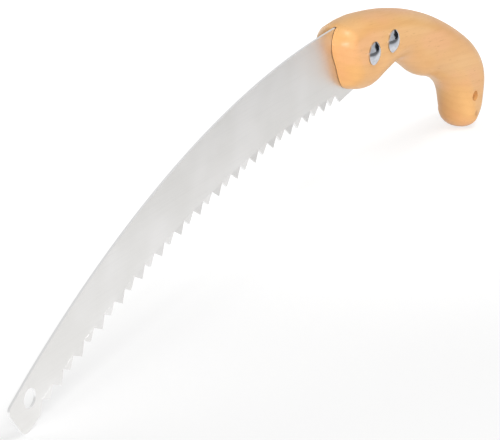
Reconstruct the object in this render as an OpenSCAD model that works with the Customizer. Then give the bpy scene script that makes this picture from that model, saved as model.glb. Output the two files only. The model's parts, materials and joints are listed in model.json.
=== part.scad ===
// Curved pruning saw: a toothed steel blade held in the kerf of a one-piece wooden pistol grip
// by two domed saw bolts and their slotted barrel nuts. The saw stands on its tip and its butt.

/* [Blade] */
// Front bolt to the end of the blade
blade_reach = 316; // [220:1:420]
// Thickness of the blade steel
blade_t = 1.2; // [0.8:0.1:2]
// Drop of the blade's end under the bolts
tip_drop = 66; // [40:0.1:90]
// Height of the back's crest over the bolts
back_rise = 17.7; // [15:0.1:20]
// Distance from the back's crest to the front bolt
back_lead = 19; // [14:0.5:24]
// Angle of the cut across the blade's end, from level
tip_angle = 55; // [45:1:70]
// Width of the blade's end, along that cut
end_w = 19.8; // [18:0.1:30]
// Rounding of the end's corner on the back
tip_back_round = 3.2; // [0.5:0.1:5]
// Rounding of the end's corner on the toothed side
tip_tooth_round = 5; // [2:0.5:7]
// Diameter of the hole at the tip
tip_hole_d = 8.8; // [5:0.1:10]
// Distance from the end of the blade to the tip hole's centre
tip_hole_in = 16.2; // [10:0.1:24]
// Depth of the tip hole's centre under the end's corner on the back
tip_hole_drop = 0.2; // [0:0.1:4]

/* [Teeth] */
// Depth of the tooth line's crest under the bolts
tooth_drop = 22; // [20:0.1:26]
// Distance from the tooth line's crest to the front bolt
tooth_lead = 33.7; // [28:0.1:40]
// Distance from one tooth point to the next
tooth_pitch = 8.85; // [6:0.05:12]
// Depth of a gullet
tooth_depth = 4.9; // [3:0.1:7]
// Sideways set of each tooth point, left and right in turn
tooth_set = 0.4; // [0:0.05:0.6]
// Slant of the file across the blade that bevels the teeth
file_slant = 18; // [0:1:35]
// Distance from the heel corner to the front bolt
heel_lead = 17.5; // [10:0.1:20]
// Plain edge from the last gullet to the heel corner
heel_land = 4.6; // [4.5:0.1:20]
// Least plain edge from the first gullet to the end
tip_land = 11.4; // [8:0.1:20]

/* [Handle] */
// Length of the handle along its spine
handle_l = 205.6; // [185:0.1:250]
// Thickness of the wood
handle_t = 23; // [20:0.5:30]
// Radius that the spine is bent to
spine_r = 294; // [240:1:420]
// Height of the spine's crest over the bolts
spine_rise = 21; // [20.6:0.1:24]
// Distance from the spine's crest to the front bolt
spine_lead = 31.7; // [26:0.1:38]
// Depth of the cheeks under the spine
cheek_depth = 39.4; // [36:0.1:44]
// Depth of the wood at the finger notch
notch_depth = 26.8; // [25:0.1:32]
// Depth of the grip's swell
belly_depth = 32.9; // [28:0.1:38]
// Depth of the wood where the grip hollows before the hook
hollow_depth = 30.8; // [27:0.1:36]
// Depth of the hook at the butt
hook_depth = 43.2; // [38:0.1:50]
// Width of the rounded edge round the cheeks
cheek_round = 9.8; // [6:0.1:10]
// Width of the rounded edge round the grip
grip_round = 11; // [8:0.5:12]
// Diameter of the hanging hole in the butt
hang_hole_d = 6; // [4:0.5:8]
// Distance from the butt's end to the hanging hole
hang_hole_in = 22.7; // [16:0.1:26]
// Depth of the hanging hole under the spine
hang_hole_depth = 28.7; // [20:0.1:32]

/* [Kerf and fittings] */
// Gap between the blade and each side of its kerf
kerf_gap = 0.2; // [0.05:0.05:0.4]
// Gap between the tang's round back and the kerf's roof
roof_gap = 0.3; // [0.1:0.05:0.6]
// Radius of the round kerf
kerf_r = 84; // [78:1:92]
// Distance between the two bolts
bolt_gap = 22.1; // [19:0.1:26]
// Rise of the rear bolt over the front one
bolt_rise = 0.5; // [-1:0.1:1]
// Diameter of the bolt and nut heads
head_d = 12; // [10:0.1:15]
// Height of a head's dome
head_h = 2.9; // [1.8:0.1:3.5]
// Diameter of the bolt's shank
shank_d = 5; // [4:0.1:6]
// Width of the bolt's square neck
neck_w = 6.4; // [6:0.1:7]
// Length of the square neck
neck_l = 4; // [3:0.1:6]
// Outer diameter of the nut's barrel
barrel_d = 8; // [7:0.1:9]
// Gap round a part that is pushed into wood or through steel
push_gap = 0.1; // [0.05:0.05:0.3]
// Gap at the thread between a shank and its nut
thread_gap = 0.05; // [0.02:0.01:0.1]
// Width of the screwdriver slot in a nut
slot_w = 1.4; // [1:0.1:2]
// Depth of that slot
slot_depth = 1; // [0.6:0.1:1.4]

/* [Hidden] */
$fn = 96;

steel = [0.86, 0.86, 0.85];
plated = [0.72, 0.74, 0.76];
wood = [0.92, 0.72, 0.46];

// Everything is laid out in the plane of the blade, as [x, z] from the front bolt,
// with x running from the tip to the butt and the bolts level with the ground.
spine_c = [-spine_lead, spine_rise - spine_r];
rear_bolt_at = [bolt_gap, bolt_rise];

function on_circle(c, r, a) = c + r * [sin(a), cos(a)];
function on_arc_x(c, r, x) = [x, c[1] + sqrt(r * r - (x - c[0]) * (x - c[0]))];
function angle_at_x(c, r, x) = asin((x - c[0]) / r);
function arc(c, r, a0, a1, n) = [for (i = [0:n]) on_circle(c, r, a0 + (a1 - a0) * i / n)];
function unit(v) = v / norm(v);
function turn_left(v) = [-v[1], v[0]];

// A corner p between the points before and after it, rounded to radius r with n steps
function rounded(before, p, after, r, n) =
    let (
        u = unit(before - p),
        v = unit(after - p),
        half = acos(u * v) / 2,
        centre = p + unit(u + v) * r / sin(half),
        first = p + u * r / tan(half),
        last = p + v * r / tan(half)
    )
    [for (i = [0:n]) centre + r * unit((first - centre) * (n - i) / n + (last - centre) * i / n)];

// The blade's end, a straight cut from its back to its teeth
end_back = [-blade_reach, -tip_drop];
end_tooth = end_back + end_w * [cos(tip_angle), -sin(tip_angle)];

// The arc through an end point whose crest lies at a given place
function arc_radius(crest, end) = pow(norm(end - crest), 2) / (2 * (crest[1] - end[1]));
back_crest = [-back_lead, back_rise];
back_r = arc_radius(back_crest, end_back);
back_c = back_crest - [0, back_r];
tooth_crest = [-tooth_lead, -tooth_drop];
tooth_r = arc_radius(tooth_crest, end_tooth);
tooth_c = tooth_crest - [0, tooth_r];
root_r = tooth_r + tooth_depth;

// Gullets are counted from the heel, as many as fit
function turned(length, r) = length / r * 180 / PI;
heel_angle = angle_at_x(tooth_c, tooth_r, -heel_lead);
end_angle = angle_at_x(tooth_c, tooth_r, end_tooth[0]);
land_angle = turned(heel_land, tooth_r);
pitch_angle = turned(tooth_pitch, tooth_r);
gullet_n = 1 + floor((heel_angle - end_angle - land_angle - turned(tip_land, tooth_r)) / pitch_angle);
function gullet_angle(i) = heel_angle - land_angle - i * pitch_angle;
function gullet_slant(i) = (i % 2 == 0 ? -1 : 1) * file_slant;

// The tang's back follows the kerf's round roof, and ends behind the rear bolt
tang_r = kerf_r - roof_gap;
tang_c = back_crest - [0, tang_r];
tang_past_bolt = 11;
tang_corner_reach = 4;
tang_end_cut = [2, 8];
tang_mouth_x = 6;
tang_mouth_rise = 4.8;
tang_end = on_arc_x(tang_c, tang_r, bolt_gap + tang_past_bolt);
tang_lead = on_arc_x(tang_c, tang_r, tang_end[0] - tang_corner_reach);
tang_foot = tang_end - tang_end_cut;
tang_mouth = [tang_mouth_x, tang_mouth_rise - tooth_drop];
tang_end_round = 2.5;
tang_foot_round = 4;

heel = on_circle(tooth_c, tooth_r, heel_angle);
heel_run = [15, 2.3];
heel_exit = heel + heel_run;
heel_round = 1.5;
corner_reach = 14;
corner_steps = 6;
heel_steps = 3;
back_steps = 60;
tang_steps = 14;
function after_first(list) = [for (i = [1:len(list) - 1]) list[i]];

blade_outline = concat(
    rounded(end_tooth, end_back, on_arc_x(back_c, back_r, end_back[0] + corner_reach), tip_back_round, corner_steps),
    arc(back_c, back_r, angle_at_x(back_c, back_r, end_back[0] + corner_reach), 0, back_steps),
    after_first(arc(tang_c, tang_r, 0, angle_at_x(tang_c, tang_r, tang_lead[0]), tang_steps)),
    rounded(tang_lead, tang_end, tang_foot, tang_end_round, corner_steps),
    rounded(tang_end, tang_foot, tang_mouth, tang_foot_round, corner_steps),
    [tang_mouth, heel_exit],
    rounded(heel_exit, heel, on_circle(tooth_c, tooth_r, heel_angle - land_angle / 2), heel_round, heel_steps),
    [on_circle(tooth_c, tooth_r, gullet_angle(0))],
    arc(tooth_c, root_r, gullet_angle(0), gullet_angle(gullet_n - 1), gullet_n),
    [on_circle(tooth_c, tooth_r, gullet_angle(gullet_n - 1))],
    rounded(on_arc_x(tooth_c, tooth_r, end_tooth[0] + corner_reach), end_tooth, end_back, tip_tooth_round, corner_steps)
);
tip_hole_at = end_back + [tip_hole_in, -tip_hole_drop];

// The handle's outline is drawn unbent, as [station along the spine, depth under the spine],
// and then bent round the spine's arc. The spine has as many knots as the underside.
nose_station = 6.2;
nose = [0, 10.6];
butt = [handle_l, 28.3];
under_knots = [
    [0.3, 14.7],
    [3.8, 21.5],
    [12.1, cheek_depth - 4.6],
    [24, cheek_depth - 0.8],
    [36, cheek_depth],
    [54, (cheek_depth + notch_depth) / 2 + 0.8],
    [68, notch_depth + 2.2],
    [79.5, notch_depth],
    [97, (notch_depth + belly_depth) / 2 - 0.2],
    [117, belly_depth],
    [handle_l - 71.6, (belly_depth + hollow_depth) / 2 - 0.5],
    [handle_l - 53.6, hollow_depth],
    [handle_l - 39, hollow_depth + 2],
    [handle_l - 24.9, hook_depth - 2.5],
    [handle_l - 21.4, hook_depth - 0.2],
    [handle_l - 6.4, hook_depth],
    [handle_l - 1, hook_depth - 7]
];
spine_knots = concat(
    [[2.5, 5], [5.6, 2.6], [14, 0.8]],
    [for (i = [3:11]) [under_knots[i][0], 0]],
    [
        [handle_l - 40.6, 0],
        [handle_l - 27.6, 1.3],
        [handle_l - 17.7, 4.3],
        [handle_l - 8.7, 11.1],
        [handle_l - 3.1, 20.9]
    ]
);
function backwards(list) = [for (i = [len(list) - 1:-1:0]) list[i]];
knots = concat([nose], spine_knots, [butt], backwards(under_knots));

// A smooth closed curve through the knots, whose slope at each knot weighs its two neighbours
function slope(a, b, c) =
    let (before = norm(b - a), after = norm(c - b))
    ((b - a) / before * after + (c - b) / after * before) / (before + after);
function between(a, b, c, d, t) =
    let (
        l = norm(c - b),
        m0 = slope(a, b, c) * l,
        m1 = slope(b, c, d) * l
    )
    (2 * pow(t, 3) - 3 * pow(t, 2) + 1) * b + (pow(t, 3) - 2 * pow(t, 2) + t) * m0
    + (3 * pow(t, 2) - 2 * pow(t, 3)) * c + (pow(t, 3) - pow(t, 2)) * m1;
knot_n = len(knots);
fine_steps = 10;
function knot(i) = knots[(i + knot_n) % knot_n];
function stretch(i0, i1) = [
    for (i = [i0:i1 - 1], k = [0:fine_steps - 1])
        between(knot(i - 1), knot(i), knot(i + 1), knot(i + 2), k / fine_steps)
];
function bend(p) = on_circle(spine_c, spine_r - p[1], (nose_station + p[0]) / spine_r * 180 / PI);

// The same curve in n equal steps
function run_lengths(path) = [
    for (i = 0, l = 0; i < len(path); l = l + (i + 1 < len(path) ? norm(path[i + 1] - path[i]) : 0), i = i + 1) l
];
function even_steps(path, n) =
    let (
        lengths = run_lengths(path),
        total = lengths[len(path) - 1],
        xs = [for (i = [0:len(path) - 1]) [lengths[i], path[i][0]]],
        zs = [for (i = [0:len(path) - 1]) [lengths[i], path[i][1]]]
    )
    [for (k = [0:n - 1]) [lookup(total * k / n, xs), lookup(total * k / n, zs)]];
side_steps = 74;
half_n = len(spine_knots) + 1;
spine_side = [for (p = concat(stretch(0, half_n), [butt])) bend(p)];
under_side = [for (p = concat(stretch(half_n, knot_n), [nose])) bend(p)];
outline = concat(even_steps(spine_side, side_steps), even_steps(under_side, side_steps));
outline_n = len(outline);
function outline_at(i) = outline[(i + outline_n) % outline_n];

// The edge is rounded inwards along the normal of a short chord, to a flat face on each side.
// Its width shrinks where the outline turns so sharply that the rounding would fold over.
normal_reach = 2;
inward = [
    for (i = [0:outline_n - 1]) -turn_left(unit(outline_at(i + normal_reach) - outline_at(i - normal_reach)))
];
function inscribed_r(i) = min([
    for (p = outline) let (v = p - outline[i], h = inward[i] * v) if (h > 0.01) v * v / (2 * h)
]);
room = [for (i = [0:outline_n - 1]) inscribed_r(i)];
grip_from = 45;
grip_to = 95;
function edge_width(x) =
    let (t = max(0, min(1, (x - grip_from) / (grip_to - grip_from))))
    cheek_round + (grip_round - cheek_round) * t * t * (3 - 2 * t);
most_used = 0.85;
never_over = 0.95;
fitted_width = [for (i = [0:outline_n - 1]) min(edge_width(outline[i][0]), most_used * room[i])];
blend_reach = 3;
blend = [-blend_reach:blend_reach];
function blended_width(i) =
    [for (k = blend) fitted_width[(i + k + outline_n) % outline_n]] * [for (k = blend) 1 / (2 * blend_reach + 1)];
round_width = [for (i = [0:outline_n - 1]) min(blended_width(i), never_over * room[i])];
round_steps = 7;
function edge_ring(a) = [
    for (i = [0:outline_n - 1])
        let (p = outline[i] + round_width[i] * (1 - cos(a)) * inward[i])
        [p[0], handle_t / 2 * sin(a), p[1]]
];
ring_n = 2 * round_steps + 1;
handle_points = [
    for (k = [-round_steps:round_steps], p = edge_ring(90 * k / round_steps)) p
];
function ring_point(k, i) = k * outline_n + (i + outline_n) % outline_n;
handle_faces = concat(
    [
        for (k = [0:ring_n - 2], i = [0:outline_n - 1], half = [0, 1])
            half == 0
                ? [ring_point(k, i), ring_point(k + 1, i), ring_point(k + 1, i + 1)]
                : [ring_point(k, i), ring_point(k + 1, i + 1), ring_point(k, i + 1)]
    ],
    [
        for (i = [0:side_steps - 1], half = [0, 1])
            half == 0
                ? [ring_point(0, i), ring_point(0, i + 1), ring_point(0, -i - 1)]
                : [ring_point(0, i), ring_point(0, -i - 1), ring_point(0, -i)]
    ],
    [
        for (i = [0:side_steps - 1], half = [0, 1])
            half == 0
                ? [ring_point(ring_n - 1, i), ring_point(ring_n - 1, -i - 1), ring_point(ring_n - 1, i + 1)]
                : [ring_point(ring_n - 1, i), ring_point(ring_n - 1, -i), ring_point(ring_n - 1, -i - 1)]
    ]
);
hang_hole_at = bend([handle_l - hang_hole_in, hang_hole_depth]);

// The saw stands with its lowest points on the ground and its box centred
lowest = min([for (p = concat(outline, blade_outline)) p[1]]);
left_end = min([for (p = blade_outline) p[0]]);
right_end = max([for (p = outline) p[0]]);
stand = [-(left_end + right_end) / 2, 0, -lowest];

// A shape drawn in x and z, given a thickness across the blade
module across(t) {
    rotate([90, 0, 0]) linear_extrude(height = t, center = true) children();
}

// A round rod along y through the point at, from y0 to y1
module rod(at, d, y0, y1) {
    translate([at[0], y1, at[1]]) rotate([90, 0, 0]) cylinder(d = d, h = y1 - y0);
}

// The triangular file that cuts a gullet, its point up at the origin, laid across the blade at a slant
gullet_half = atan(tooth_pitch / 2 / tooth_depth);
file_l = 12;
file_depth = tooth_depth + 3;
module file(slant) {
    half = file_depth * tan(gullet_half);
    rotate([0, 0, slant]) across(file_l) polygon([[0, 0], [half, -file_depth], [-half, -file_depth]]);
}

// The place on the line of gullets at an angle, with the teeth pointing down
module at_root(angle) {
    root = on_circle(tooth_c, root_r, angle);
    translate([root[0], 0, root[1]]) rotate([0, angle, 0]) children();
}

// Tooth i, between gullets i and i + 1: bevelled by both files and set to one side
tooth_flat = 0.25;
root_lap = 0.4;
module tooth(i) {
    side = i % 2 == 0 ? 1 : -1;
    rotate([side * atan(tooth_set / tooth_depth), 0, 0]) difference() {
        translate([-tooth_pitch / 2, -blade_t / 2, -tooth_depth - tooth_flat])
            cube([tooth_pitch, blade_t, tooth_depth + tooth_flat + root_lap]);
        translate([tooth_pitch / 2, 0, 0]) file(gullet_slant(i));
        translate([-tooth_pitch / 2, 0, 0]) file(gullet_slant(i + 1));
    }
}

module teeth() {
    for (i = [0:gullet_n - 2]) at_root(gullet_angle(i) - pitch_angle / 2) tooth(i);
}

// The blade without its teeth, the outermost gullets filed into the plain edge beyond them
module plate() {
    difference() {
        across(blade_t) polygon(blade_outline);
        for (i = [0, gullet_n - 1]) at_root(gullet_angle(i)) file(gullet_slant(i));
    }
}

module blade() {
    color(steel) translate(stand) difference() {
        union() {
            plate();
            teeth();
        }
        rod(tip_hole_at, tip_hole_d, -blade_t, blade_t);
        rod([0, 0], shank_d + 2 * push_gap, -blade_t, blade_t);
        rod(rear_bolt_at, shank_d + 2 * push_gap, -blade_t, blade_t);
    }
}

// The bores for one bolt: a square socket on its head's side and a round one for the nut's barrel
module bolt_bores(at) {
    overrun = 1;
    socket_w = neck_w + 2 * push_gap;
    face = handle_t / 2;
    translate([at[0] - socket_w / 2, -face - overrun, at[1] - socket_w / 2])
        cube([socket_w, neck_l + push_gap + overrun, socket_w]);
    rod(at, shank_d + 2 * push_gap, -face, 0);
    rod(at, barrel_d + 2 * push_gap, 0, face + overrun);
}

module handle() {
    color(wood) translate(stand) difference() {
        polyhedron(points = handle_points, faces = handle_faces);
        rod(tang_c, 2 * kerf_r, -blade_t / 2 - kerf_gap, blade_t / 2 + kerf_gap);
        bolt_bores([0, 0]);
        bolt_bores(rear_bolt_at);
        rod(hang_hole_at, hang_hole_d, -handle_t, handle_t);
    }
}

// A shallow dome on a thin rim, its flat side at the origin and its crown towards +z
rim_h = 0.7;
module dome() {
    rise = head_h - rim_h;
    ball_r = (head_d * head_d / 4 + rise * rise) / (2 * rise);
    intersection() {
        cylinder(d = head_d, h = head_h + 1);
        translate([0, 0, head_h - ball_r]) sphere(r = ball_r, $fn = 240);
    }
}

// A bolt along y with its dome on the near face of the wood
seat_gap = 0.05;
nut_blind = 1.5;
bottom_gap = 1.4;
module bolt(at) {
    face = handle_t / 2;
    translate([at[0], -face - seat_gap, at[1]]) {
        rotate([90, 0, 0]) dome();
        translate([-neck_w / 2, 0, -neck_w / 2]) cube([neck_w, neck_l, neck_w]);
    }
    rod(at, shank_d, -face - seat_gap, face - nut_blind - bottom_gap);
}

// Its nut on the far face: a slotted dome on a barrel that reaches almost to the blade
barrel_clear = 0.6;
slot_turn = 35;
module nut(at) {
    face = handle_t / 2;
    difference() {
        union() {
            translate([at[0], face + seat_gap, at[1]]) rotate([-90, 0, 0]) dome();
            rod(at, barrel_d, blade_t / 2 + barrel_clear, face + 2 * seat_gap);
        }
        rod(at, shank_d + 2 * thread_gap, 0, face - nut_blind);
        translate([at[0], face + seat_gap + head_h, at[1]]) rotate([0, slot_turn, 0])
            cube([head_d + 1, 2 * slot_depth, slot_w], center = true);
    }
}

module front_bolt() {
    color(plated) translate(stand) bolt([0, 0]);
}

module front_nut() {
    color(plated) translate(stand) nut([0, 0]);
}

module rear_bolt() {
    color(plated) translate(stand) bolt(rear_bolt_at);
}

module rear_nut() {
    color(plated) translate(stand) nut(rear_bolt_at);
}

blade();
handle();
front_bolt();
front_nut();
rear_bolt();
rear_nut();
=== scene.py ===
"""A pruning saw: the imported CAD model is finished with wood, steel and plating, lit and framed."""
import json
import math

import bmesh
import bpy
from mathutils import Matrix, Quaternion, Vector


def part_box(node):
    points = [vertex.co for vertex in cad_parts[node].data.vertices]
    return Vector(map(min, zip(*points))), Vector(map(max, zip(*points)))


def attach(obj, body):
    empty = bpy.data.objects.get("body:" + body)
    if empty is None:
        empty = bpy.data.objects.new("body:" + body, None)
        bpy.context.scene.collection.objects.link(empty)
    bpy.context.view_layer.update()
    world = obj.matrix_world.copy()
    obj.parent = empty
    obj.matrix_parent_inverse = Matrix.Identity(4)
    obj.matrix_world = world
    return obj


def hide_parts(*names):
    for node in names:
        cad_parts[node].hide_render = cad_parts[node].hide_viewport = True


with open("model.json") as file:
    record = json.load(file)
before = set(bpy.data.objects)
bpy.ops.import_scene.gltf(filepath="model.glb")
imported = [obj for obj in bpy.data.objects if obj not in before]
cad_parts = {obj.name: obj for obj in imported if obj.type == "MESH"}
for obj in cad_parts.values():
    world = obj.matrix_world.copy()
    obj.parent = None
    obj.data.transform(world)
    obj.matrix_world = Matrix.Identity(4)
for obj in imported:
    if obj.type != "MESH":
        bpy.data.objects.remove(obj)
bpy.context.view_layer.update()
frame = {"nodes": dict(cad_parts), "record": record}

nodes = frame["nodes"]

# The front bolt's place in the plane of the blade, and the places of the mounts
bolt_lo, bolt_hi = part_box("front_bolt")
front_bolt_at = Vector(((bolt_lo.x + bolt_hi.x) / 2, 0, (bolt_lo.z + bolt_hi.z) / 2))
mounts = {mount["name"]: Vector(mount["pos_m"]) for mount in frame["record"]["mounts"]}


def tint(red, green, blue):
    """A colour as seen on a screen, from 0 to 255, as the linear colour that a shader takes."""
    def linear(part):
        part = part / 255
        return part / 12.92 if part <= 0.04045 else ((part + 0.055) / 1.055) ** 2.4
    return (linear(red), linear(green), linear(blue), 1)


class Field:
    """A value or colour that changes over a surface. Python's operators add Math nodes."""

    def __init__(self, finish, socket):
        self.finish = finish
        self.socket = socket

    def maths(self, operation, *others):
        return self.finish.add("ShaderNodeMath", {"operation": operation}, [self, *others])

    def __add__(self, other):
        return self.maths("ADD", other)

    __radd__ = __add__

    def __sub__(self, other):
        return self.maths("SUBTRACT", other)

    def __rsub__(self, other):
        return self.finish.add("ShaderNodeMath", {"operation": "SUBTRACT"}, [other, self])

    def __mul__(self, other):
        return self.maths("MULTIPLY", other)

    __rmul__ = __mul__

    def __truediv__(self, other):
        return self.maths("DIVIDE", other)

    def __pow__(self, other):
        return self.maths("POWER", other)

    def __abs__(self):
        return self.maths("ABSOLUTE")

    def fract(self):
        return self.maths("FRACT")

    def ramp(self, start, end):
        """0 before start and 1 after end, with a soft step between; start may be the larger."""
        settings = {"interpolation_type": "SMOOTHSTEP"}
        inputs = {"Value": self, "From Min": start, "From Max": end}
        return self.finish.add("ShaderNodeMapRange", settings, inputs, "Result")


class Finish:
    """A material for one of the saw's surfaces, or for the floor or card beside it."""

    def __init__(self, name):
        self.material = bpy.data.materials.new(name)
        self.material.use_nodes = True
        self.tree = self.material.node_tree
        self.shader = self.tree.nodes["Principled BSDF"]
        self.place = self.add("ShaderNodeTexCoord", {}, {}, "Object")

    def put(self, socket, value):
        """Gives a socket a field or a constant."""
        if isinstance(value, Field):
            self.tree.links.new(value.socket, socket)
        else:
            socket.default_value = value

    def add(self, kind, settings, inputs, output=0):
        """A node of that kind, its settings made first, then its inputs by name or in order."""
        node = self.tree.nodes.new(kind)
        for name, setting in settings.items():
            setattr(node, name, setting)
        pairs = inputs.items() if isinstance(inputs, dict) else enumerate(inputs)
        for name, value in pairs:
            self.put(node.inputs[name], value)
        return Field(self, node.outputs[output])

    def parts(self, vector):
        """The x, y and z of a vector field."""
        node = self.tree.nodes.new("ShaderNodeSeparateXYZ")
        self.put(node.inputs[0], vector)
        return [Field(self, out) for out in node.outputs]

    def vector(self, x, y, z):
        return self.add("ShaderNodeCombineXYZ", {}, [x, y, z])

    def noise(self, vector, scale, detail=3.0, roughness=0.5):
        """Noise from 0 to 1 with its own scale along each axis, in waves a metre."""
        scaled = self.add("ShaderNodeVectorMath", {"operation": "MULTIPLY"}, [vector, scale])
        inputs = {"Vector": scaled, "Scale": 1.0, "Detail": detail, "Roughness": roughness}
        return self.add("ShaderNodeTexNoise", {"normalize": True}, inputs, "Fac")

    def mix(self, mask, first, second):
        """The first colour where mask is 0 and the second where it is 1."""
        node = self.tree.nodes.new("ShaderNodeMix")
        node.data_type = "RGBA"
        for name, value in (("Factor_Float", mask), ("A_Color", first), ("B_Color", second)):
            self.put(next(s for s in node.inputs if s.identifier == name), value)
        return Field(self, next(s for s in node.outputs if s.identifier == "Result_Color"))

    def distance(self, point):
        """Distance from a point in the plane of the blade, in metres."""
        x, _, z = self.parts(self.place)
        return ((x - point.x) * (x - point.x) + (z - point.z) * (z - point.z)) ** 0.5

    def facing(self, axis):
        """1 where the surface faces along the axis, either way, and 0 where it lies along it."""
        normal = self.add("ShaderNodeNewGeometry", {}, {}, "Normal")
        dot = self.add("ShaderNodeVectorMath", {"operation": "DOT_PRODUCT"}, [normal, axis], "Value")
        return abs(dot)

    def drive(self, name, value):
        """Sets an input of the shader, to a field or a constant."""
        self.put(self.shader.inputs[name], value)

    def matt(self):
        """Takes all gloss away."""
        self.drive("Roughness", 1.0)
        self.drive("Specular IOR Level", 0.0)

    def relief(self, height, depth):
        """Small relief of the surface, height from 0 to 1 over that depth in metres."""
        bump = self.add("ShaderNodeBump", {}, {"Distance": depth, "Height": height}, "Normal")
        self.drive("Normal", bump)


# The way through the blade's thickness
across = (0, 1, 0)


def varnished_wood():
    """Light hardwood under a clear varnish, its grain running along the grip."""
    wood = Finish("varnished wood")
    grain_slope = math.radians(9)
    along = (math.cos(grain_slope), 0, -math.sin(grain_slope))
    turn = {"Vector": wood.place, "Rotation": (0, -grain_slope, 0)}
    turned = wood.add("ShaderNodeMapping", {"vector_type": "POINT"}, turn)
    _, y, z = wood.parts(turned)

    # Growth rings of a tree whose heart lay below and beside the board
    sway = wood.noise(turned, (7, 22, 22), 2.0) - 0.5
    ripple = wood.noise(turned, (40, 160, 160), 2.0) - 0.5
    heart_y = 0.034
    heart_z = -0.085
    ring_width = 0.0046
    reach = ((y - heart_y) * (y - heart_y) + (z - heart_z) * (z - heart_z)) ** 0.5
    rings = (reach + sway * 0.016 + ripple * 0.0011) / ring_width
    phase = rings.fract()
    late = phase.ramp(0.35, 0.93) * phase.ramp(1.0, 0.95)

    # Fibres, streaks and pores, and slow changes of colour
    fibre = wood.noise(turned, (30, 1500, 1500), 3.0, 0.6)
    streak = wood.noise(turned, (9, 210, 210), 3.0, 0.6)
    pore = wood.noise(turned, (170, 2300, 2300), 1.0).ramp(0.66, 0.78)
    cloud = wood.noise(turned, (14, 30, 30), 2.0).ramp(0.35, 0.68)

    pale = tint(235, 184, 121)
    golden = tint(230, 172, 106)
    colour = wood.mix(cloud, pale, golden)
    blush = wood.noise(turned, (22, 60, 60), 2.0).ramp(0.45, 0.7)
    colour = wood.mix(blush * 0.6, colour, tint(238, 176, 124))
    colour = wood.mix(late * 0.11, colour, tint(212, 148, 84))
    colour = wood.mix(streak.ramp(0.5, 0.75) * 0.2, colour, tint(218, 158, 98))
    colour = wood.mix(fibre.ramp(0.5, 0.8) * 0.15, colour, tint(196, 134, 76))
    colour = wood.mix(pore * 0.25, colour, tint(150, 96, 52))

    # The end grain takes up more varnish, and a small knot sits below the hanging hole
    colour = wood.mix(wood.facing(along).ramp(0.55, 1.0) * 0.3, colour, tint(196, 132, 78))
    knot_at = mounts["hang_hole"] + Vector((0.0015, 0, -0.011))
    knot_reach = 0.0028
    ragged = (wood.noise(turned, (300, 300, 300), 1.0) - 0.5) * 0.003
    knot = (wood.distance(knot_at) + ragged).ramp(knot_reach, 0.0004)
    colour = wood.mix(knot * 0.5, colour, tint(164, 104, 60))

    # Painted shade: the sides of the kerf, facing the blade across a narrow gap, are painted a darker
    # brown that stands in for the shade inside the slot
    kerf_side = abs(y).ramp(0.0016, 0.0009)
    painted_kerf_shade = wood.facing(across).ramp(0.9, 0.99) * kerf_side
    colour = wood.mix(painted_kerf_shade * 0.5, colour, tint(150, 104, 62))

    wood.drive("Base Color", colour)
    wood.drive("Roughness", 0.34 + fibre * 0.1 + pore * 0.2)
    wood.drive("Specular IOR Level", 0.3)
    wood.drive("Coat Weight", 0.12)
    wood.drive("Coat Roughness", 0.2)
    pore_depth = 0.00003
    wood.relief(fibre * 0.6 + (1 - pore) * 0.4, pore_depth)
    return wood.material


def rolled_steel():
    """Satin spring steel, polished along the blade, with bright filed edges."""
    steel = Finish("rolled steel")
    brushed = steel.noise(steel.place, (26, 900, 2600), 3.0, 0.6)
    sheet = steel.noise(steel.place, (24, 30, 24), 2.0)
    cut = steel.facing(across).ramp(0.999, 0.98)
    filed = steel.noise(steel.place, (3200, 60, 3200), 2.0)

    colour = steel.mix(sheet.ramp(0.35, 0.65), tint(222, 221, 219), tint(229, 228, 227))
    colour = steel.mix(brushed.ramp(0.42, 0.75) * 0.12, colour, tint(205, 203, 202))
    colour = steel.mix(cut, colour, tint(238, 238, 238))
    steel.drive("Base Color", colour)
    steel.drive("Metallic", 1.0)
    steel.drive("Roughness", 0.36 + (brushed - 0.5) * 0.08 - cut * 0.1 + cut * filed * 0.12)
    scratch_depth = 0.000012
    steel.relief(brushed * (1 - cut) + cut * filed, scratch_depth)
    return steel.material


def bright_plating():
    """Polished zinc plate with faint rubbing marks."""
    plate = Finish("bright plating")
    rubbed = plate.noise(plate.place, (500, 500, 2200), 2.0)
    cloud = plate.noise(plate.place, (300, 300, 300), 2.0)
    colour = plate.mix(cloud.ramp(0.4, 0.7), tint(186, 190, 198), tint(206, 208, 214))
    plate.drive("Base Color", colour)
    plate.drive("Metallic", 1.0)
    plate.drive("Roughness", 0.11 + rubbed * 0.1)
    return plate.material


# Points of a CAD mesh that lie closer than this, in metres, are one point
weld = 0.000002


def smooth_copy(node, name, finish, crease):
    """A copy of a CAD node, its triangles joined and shaded smooth up to a crease angle in degrees."""
    mesh = nodes[node].data.copy()
    mesh.name = name

    # The shading stored with loose triangles doesn't fit them once they are joined
    if "custom_normal" in mesh.attributes:
        mesh.attributes.remove(mesh.attributes["custom_normal"])
    shape = bmesh.new()
    shape.from_mesh(mesh)
    bmesh.ops.remove_doubles(shape, verts=shape.verts, dist=weld)
    bmesh.ops.dissolve_degenerate(shape, edges=shape.edges, dist=weld)
    for face in shape.faces:
        face.smooth = True
    shape.to_mesh(mesh)
    shape.free()
    mesh.set_sharp_from_angle(angle=math.radians(crease))
    mesh.materials.clear()
    mesh.materials.append(finish)
    piece = bpy.data.objects.new(name, mesh)
    bpy.context.scene.collection.objects.link(piece)
    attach(piece, "root")
    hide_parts(node)
    return piece


wood_finish = varnished_wood()
steel_finish = rolled_steel()
plate_finish = bright_plating()

handle = smooth_copy("handle", "wooden_handle", wood_finish, 38)
smooth_copy("blade", "toothed_blade", steel_finish, 12)
for node in ("front_bolt", "front_nut", "rear_bolt", "rear_nut"):
    smooth_copy(node, node + "_plated", plate_finish, 30)

# Large faces set the wood's shading, so that the small ones beside them don't show
even = handle.modifiers.new("even shading", "WEIGHTED_NORMAL")
even.mode = "FACE_AREA"
even.keep_sharp = True


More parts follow.
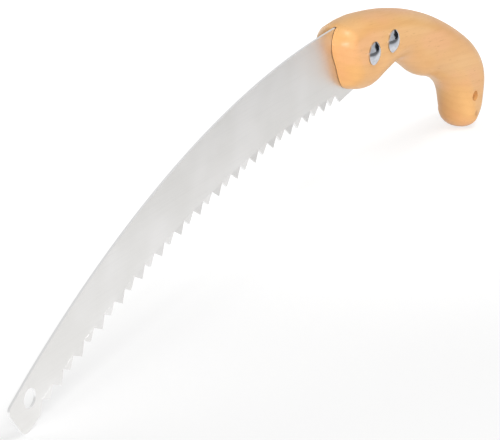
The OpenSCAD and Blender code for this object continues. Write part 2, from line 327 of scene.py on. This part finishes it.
# The floor's size in metres, and its shade and glow as seen, as it throws light back and as mirrored
floor_size = 8.0
floor_seen = 0.38
floor_bounce = 0.66
floor_mirrored = 0.25
floor_glow = 0.625
handle_glow = 0.1
behind_glow = 0.08
tip_mirror_glow = 0.92
handle_mirror_glow = 0.86


def white_floor():
    """White paper that keeps the saw's shadow. Its glow to the camera and in metal is set by place."""
    paper = Finish("white floor")
    x, y, _ = paper.parts(paper.place)
    seen = paper.add("ShaderNodeLightPath", {}, {}, "Is Camera Ray")
    mirrored = paper.add("ShaderNodeLightPath", {}, {}, "Is Glossy Ray")
    shade = floor_bounce + seen * (floor_seen - floor_bounce)
    shade = shade + mirrored * (floor_mirrored - floor_bounce)
    paper.drive("Base Color", paper.vector(shade, shade, shade))
    paper.matt()

    # To the camera it glows more under the handle, behind the saw and far from it
    far = ((x * x + y * y) ** 0.5).ramp(0.25, 0.9)
    past_tip = (x + y * 0.3).ramp(-0.12, 0.06)
    behind = y.ramp(0.006, 0.03)
    to_camera = floor_glow + past_tip * handle_glow + behind * behind_glow + far

    # In metal it glows from a little way in front of the saw onwards, more so near the tip
    near_handle = x.ramp(-0.15, 0.2)
    in_metal = tip_mirror_glow + near_handle * (handle_mirror_glow - tip_mirror_glow)
    in_metal = y.ramp(-0.34, -0.14) * in_metal
    glow = to_camera * seen + in_metal * mirrored
    paper.drive("Emission Color", paper.vector(glow, glow, glow))
    paper.drive("Emission Strength", 1.0)
    return paper.material


bpy.ops.mesh.primitive_plane_add(size=floor_size, location=(0, 0, 0))
floor = bpy.context.object
floor.name = "floor"
floor.data.materials.append(white_floor())


def white_world(fill, reflected):
    """White to the camera and through glass, reflected at its own level, and a soft fill otherwise."""
    world = bpy.data.worlds.new("studio")
    bpy.context.scene.world = world
    world.use_nodes = True
    tree = world.node_tree
    back = tree.nodes["Background"]
    back.inputs["Color"].default_value = (1, 1, 1, 1)
    ray = tree.nodes.new("ShaderNodeLightPath")

    def choose(mask, otherwise, value):
        """That value for one kind of ray, and the other one for the rest."""
        node = tree.nodes.new("ShaderNodeMix")
        tree.links.new(ray.outputs[mask], node.inputs["Factor"])
        if isinstance(otherwise, float):
            node.inputs["A"].default_value = otherwise
        else:
            tree.links.new(otherwise, node.inputs["A"])
        node.inputs["B"].default_value = value
        return node.outputs["Result"]

    strength = choose("Is Glossy Ray", fill, reflected)
    strength = choose("Is Transmission Ray", strength, 1.0)
    strength = choose("Is Camera Ray", strength, 1.0)
    tree.links.new(strength, back.inputs["Strength"])


white_world(0.34, 0.76)


def softbox(name, place, aim, width, height, watts):
    """A flat lamp at a place, turned to a point."""
    lamp = bpy.data.lights.new(name, "AREA")
    lamp.shape = "RECTANGLE"
    lamp.size = width
    lamp.size_y = height
    lamp.energy = watts
    holder = bpy.data.objects.new(name, lamp)
    holder.location = place
    holder.rotation_mode = "QUATERNION"
    holder.rotation_quaternion = (Vector(place) - Vector(aim)).to_track_quat("Z", "Y")
    bpy.context.scene.collection.objects.link(holder)


def dark_card(name, place, aim, width, height):
    """A black card that only shows in reflections, to draw the shape of polished metal."""
    bpy.ops.mesh.primitive_plane_add(size=1)
    card = bpy.context.object
    card.name = name
    card.scale = (width, height, 1)
    card.location = place
    card.rotation_mode = "QUATERNION"
    card.rotation_quaternion = (Vector(aim) - Vector(place)).to_track_quat("Z", "Y")
    black = Finish(name)
    black.drive("Base Color", tint(40, 42, 46))
    black.matt()
    card.data.materials.append(black.material)
    card.visible_camera = False
    card.visible_diffuse = False
    card.visible_shadow = False
    card.visible_transmission = False


# Lamps in metres and watts, and a card that darkens the top of the domed bolts
middle = Vector((0, 0, 0.05))
softbox("overhead", (0.05, -0.6, 1.45), middle, 0.6, 0.6, 9.8)
softbox("front fill", (-1.5, -1.3, 0.24), middle, 1.2, 0.4, 31)
softbox("rear fill", (0.9, 1.8, 0.5), middle, 1.4, 1.4, 12)
card_from_bolt = Vector((0.57, -0.39, 0.12))
dark_card("dark card", front_bolt_at + card_from_bolt, front_bolt_at, 0.6, 0.32)

# The photograph's camera: a long lens, looking down across the blade's tip
lens_px = 2289
photo_w = 500
from_bolt = Vector((-0.9979, -0.5086, 0.3434))
camera_turn = math.radians(60.16)
camera_dip = math.radians(21.22)
camera_roll = math.radians(-1.67)

camera_data = bpy.data.cameras.new("camera")
camera_data.sensor_width = 36
camera_data.lens = lens_px / photo_w * camera_data.sensor_width
camera = bpy.data.objects.new("camera", camera_data)
bpy.context.scene.collection.objects.link(camera)
ahead = Vector((
    math.sin(camera_turn) * math.cos(camera_dip),
    math.cos(camera_turn) * math.cos(camera_dip),
    -math.sin(camera_dip),
))
camera.location = front_bolt_at + from_bolt
camera.rotation_mode = "QUATERNION"
level = ahead.to_track_quat("-Z", "Y")
camera.rotation_quaternion = level @ Quaternion((0, 0, 1), camera_roll)
camera_data.clip_start = 0.01
camera_data.clip_end = 100
bpy.context.scene.camera = camera

bpy.context.scene.view_settings.view_transform = "Standard"
